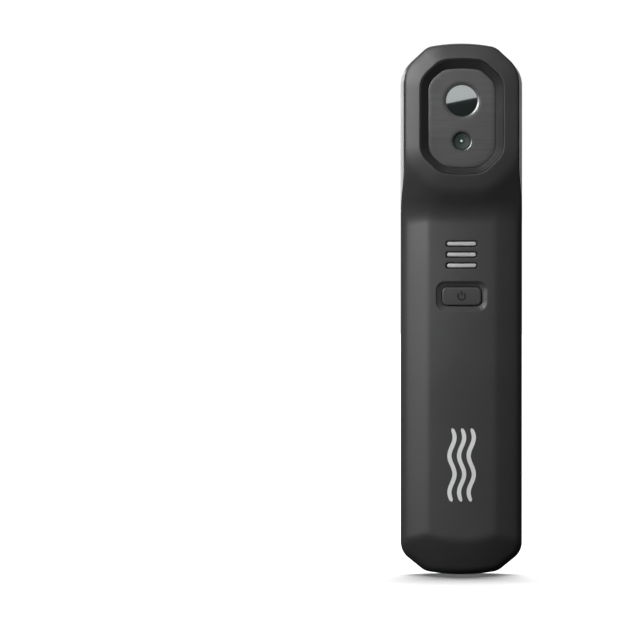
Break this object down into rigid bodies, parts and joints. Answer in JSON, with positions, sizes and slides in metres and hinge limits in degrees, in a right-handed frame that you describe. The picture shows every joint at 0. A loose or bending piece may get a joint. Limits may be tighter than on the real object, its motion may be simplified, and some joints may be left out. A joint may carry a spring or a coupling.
{
  "type": "thermal imaging camera",
  "caption": "Slim wand-shaped thermal camera with a lens window in its head, a power button, light bars and a spring-loaded sliding phone clip on its back.",
  "frame": {"origin": "lowest point of the handle, midway across the width and midway through the whole depth", "axes": "+Z along the handle from its lower end to the head, lenses look along -Y, phone clip on the +Y side"},
  "size_m": [0.034, 0.036, 0.149],
  "materials": {
    "black_housing": "fine matt texture",
    "dark_bezel": "satin",
    "window_metal": "dark anodised, brushed",
    "grey_plastic": "satin",
    "light_bars": "translucent satin",
    "button_plastic": "matt",
    "rubber": "matt",
    "germanium": "coated, mirror-like",
    "camera_glass": "coated",
    "steel": "plated",
    "board": "solder mask",
    "shield": "tinned",
    "inner_plastic": "moulded",
    "led": "clear resin",
    "battery_foil": "foil pouch",
    "flex": "polyimide",
    "label": "printed film, blank",
    "pale_plastic": "moulded"
  },
  "bodies": {
    "housing": {"front_shell": "black_housing", "rear_shell": "black_housing", "shell_seal": "rubber", "window_bezel": "dark_bezel", "window_gasket": "rubber", "window_plate": "window_metal", "thermal_window": "germanium", "thermal_lens_trim": "dark_bezel", "thermal_lens_barrel": "dark_bezel", "shutter_housing": "inner_plastic", "shutter_motor": "steel", "thermal_core": "inner_plastic", "core_board": "board", "visible_lens": "camera_glass", "visible_lens_trim": "dark_bezel", "visible_camera": "inner_plastic", "camera_flex": "flex", "camera_carrier": "inner_plastic", "carrier_screws": "steel", "main_board": "board", "board_screws": "steel", "shield_can": "shield", "status_leds": "led", "light_guide": "light_bars", "tact_switch": "pale_plastic", "battery": "battery_foil", "battery_pad": "rubber", "head_flex": "flex", "antenna": "flex", "usb_c_port": "steel", "usb_c_tongue": "dark_bezel", "housing_screws": "steel", "rear_cover": "black_housing", "cover_screws": "steel", "cover_pad": "rubber", "rating_label": "label", "lower_jaw": "grey_plastic", "lower_jaw_pad": "rubber", "lower_jaw_screws": "steel", "spring_anchor": "steel", "clip_spring_left": "steel", "clip_spring_right": "steel"},
    "clip": {"clip_carriage": "grey_plastic", "upper_jaw_pad": "rubber", "carriage_pad": "rubber", "slide_strap": "inner_plastic", "strap_screws": "steel", "spring_crossbar": "steel"},
    "button": {"power_button": "button_plastic"},
    "plunger": {"switch_plunger": "dark_bezel"},
    "shutter": {"shutter_blade": "steel"}
  },
  "joints": [
    {"name": "clip_slide", "type": "slide", "parent": "housing", "child": "clip", "axis": [0, 0, 1], "range_m": [0, 0.032], "stiffness_N_per_m": 120, "springref_m": -0.03, "deforming": ["clip_spring_left", "clip_spring_right"]},
    {"name": "button_press", "type": "slide", "parent": "housing", "child": "button", "axis": [0, 1, 0], "range_m": [0, 0.00035], "stiffness_N_per_m": 900, "springref_m": -0.0003},
    {"name": "plunger_press", "type": "slide", "parent": "housing", "child": "plunger", "axis": [0, 1, 0], "range_m": [0, 0.00035]},
    {"name": "shutter_swing", "type": "hinge", "parent": "housing", "child": "shutter", "pos_m": [-0.0092, -0.00945, 0.1295], "axis": [0, 1, 0], "range_deg": [0, 40], "stiffness_Nm_per_rad": 0.0005}
  ],
  "couplings": [
    {"joint": "plunger_press", "follows": "button_press", "ratio": 1}
  ]
}
